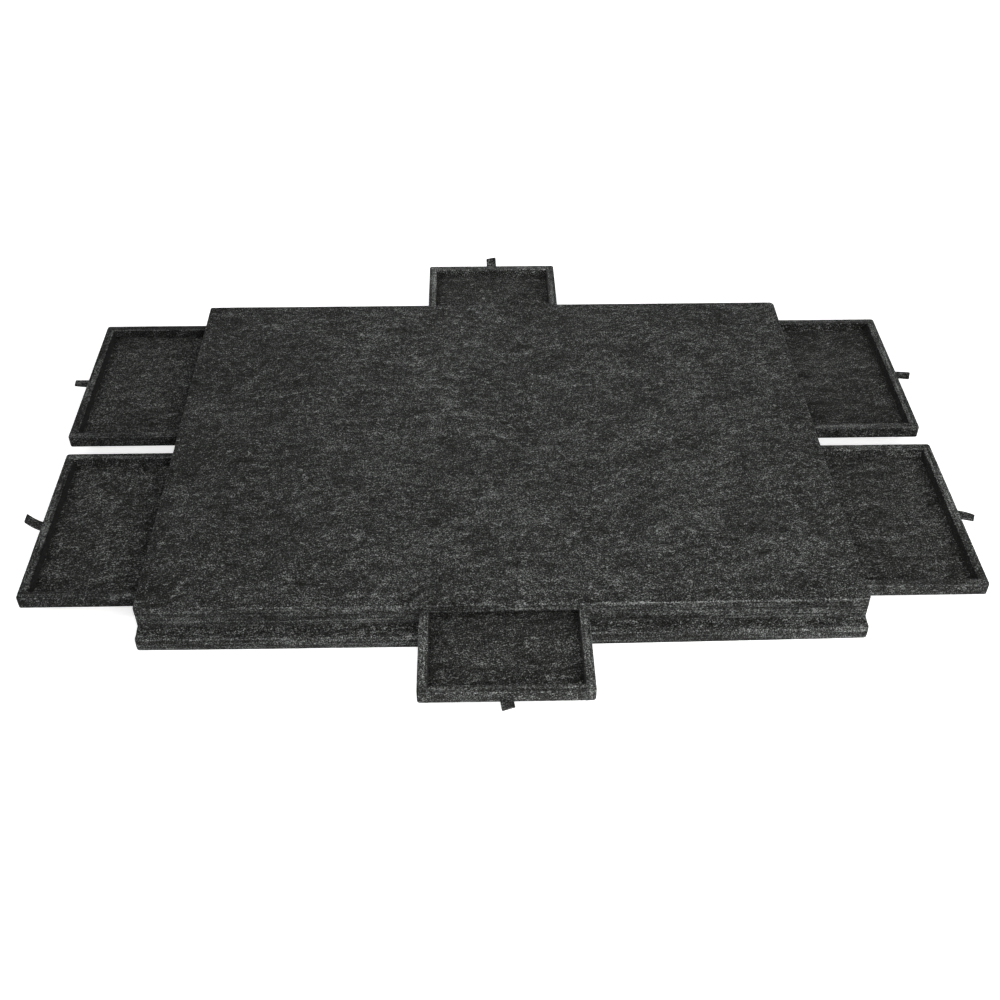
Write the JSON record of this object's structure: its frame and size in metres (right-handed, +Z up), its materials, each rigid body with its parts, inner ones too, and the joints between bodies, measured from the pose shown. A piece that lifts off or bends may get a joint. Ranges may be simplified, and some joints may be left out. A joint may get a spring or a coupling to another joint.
{
  "type": "jigsaw puzzle table",
  "caption": "Low felt jigsaw puzzle table: a flat work board over a shallow case with slide-out sorting drawers on every side, each with a felt pull strap.",
  "frame": {"origin": "middle of the underside of the base board", "axes": "+X to the right along the long side, -Y to the front, +Z up"},
  "size_m": [1.051, 0.808, 0.043],
  "materials": {
    "felt_floor": "thin needled charcoal felt",
    "felt_drawer_wall": "cut charcoal felt board, fuzzy arrises",
    "felt_strap": "thin soft charcoal felt strap",
    "felt_rail": "cut charcoal felt board",
    "felt_base": "needled heather charcoal felt, cut edges",
    "felt_deck": "thin needled charcoal felt",
    "felt_top": "needled heather charcoal felt"
  },
  "bodies": {
    "case": {"back_left_rail": "felt_rail", "back_right_rail": "felt_rail", "base_board": "felt_base", "centre_block": "felt_rail", "drawer_deck": "felt_deck", "front_left_rail": "felt_rail", "front_right_rail": "felt_rail", "left_divider": "felt_rail", "left_inner_wall": "felt_rail", "right_divider": "felt_rail", "right_inner_wall": "felt_rail", "work_board": "felt_top"},
    "left_front_drawer": {"left_front_drawer_floor": "felt_floor", "left_front_drawer_inner_wall": "felt_drawer_wall", "left_front_drawer_left_wall": "felt_drawer_wall", "left_front_drawer_outer_wall": "felt_drawer_wall", "left_front_drawer_pull_strap": "felt_strap", "left_front_drawer_right_wall": "felt_drawer_wall"},
    "left_back_drawer": {"left_back_drawer_floor": "felt_floor", "left_back_drawer_inner_wall": "felt_drawer_wall", "left_back_drawer_left_wall": "felt_drawer_wall", "left_back_drawer_outer_wall": "felt_drawer_wall", "left_back_drawer_pull_strap": "felt_strap", "left_back_drawer_right_wall": "felt_drawer_wall"},
    "right_front_drawer": {"right_front_drawer_floor": "felt_floor", "right_front_drawer_inner_wall": "felt_drawer_wall", "right_front_drawer_left_wall": "felt_drawer_wall", "right_front_drawer_outer_wall": "felt_drawer_wall", "right_front_drawer_pull_strap": "felt_strap", "right_front_drawer_right_wall": "felt_drawer_wall"},
    "right_back_drawer": {"right_back_drawer_floor": "felt_floor", "right_back_drawer_inner_wall": "felt_drawer_wall", "right_back_drawer_left_wall": "felt_drawer_wall", "right_back_drawer_outer_wall": "felt_drawer_wall", "right_back_drawer_pull_strap": "felt_strap", "right_back_drawer_right_wall": "felt_drawer_wall"},
    "front_drawer": {"front_drawer_floor": "felt_floor", "front_drawer_inner_wall": "felt_drawer_wall", "front_drawer_left_wall": "felt_drawer_wall", "front_drawer_outer_wall": "felt_drawer_wall", "front_drawer_pull_strap": "felt_strap", "front_drawer_right_wall": "felt_drawer_wall"},
    "back_drawer": {"back_drawer_floor": "felt_floor", "back_drawer_inner_wall": "felt_drawer_wall", "back_drawer_left_wall": "felt_drawer_wall", "back_drawer_outer_wall": "felt_drawer_wall", "back_drawer_pull_strap": "felt_strap", "back_drawer_right_wall": "felt_drawer_wall"}
  },
  "joints": [
    {"name": "left_front_slide", "type": "slide", "parent": "case", "child": "left_front_drawer", "axis": [-1, 0, 0], "range_m": [-0.126, 0.0975]},
    {"name": "left_back_slide", "type": "slide", "parent": "case", "child": "left_back_drawer", "axis": [-1, 0, 0], "range_m": [-0.132, 0.0915]},
    {"name": "right_front_slide", "type": "slide", "parent": "case", "child": "right_front_drawer", "axis": [1, 0, 0], "range_m": [-0.133, 0.0905]},
    {"name": "right_back_slide", "type": "slide", "parent": "case", "child": "right_back_drawer", "axis": [1, 0, 0], "range_m": [-0.13, 0.0935]},
    {"name": "front_slide", "type": "slide", "parent": "case", "child": "front_drawer", "axis": [0, -1, 0], "range_m": [-0.107, 0.106]},
    {"name": "back_slide", "type": "slide", "parent": "case", "child": "back_drawer", "axis": [0, 1, 0], "range_m": [-0.115, 0.098]}
  ]
}
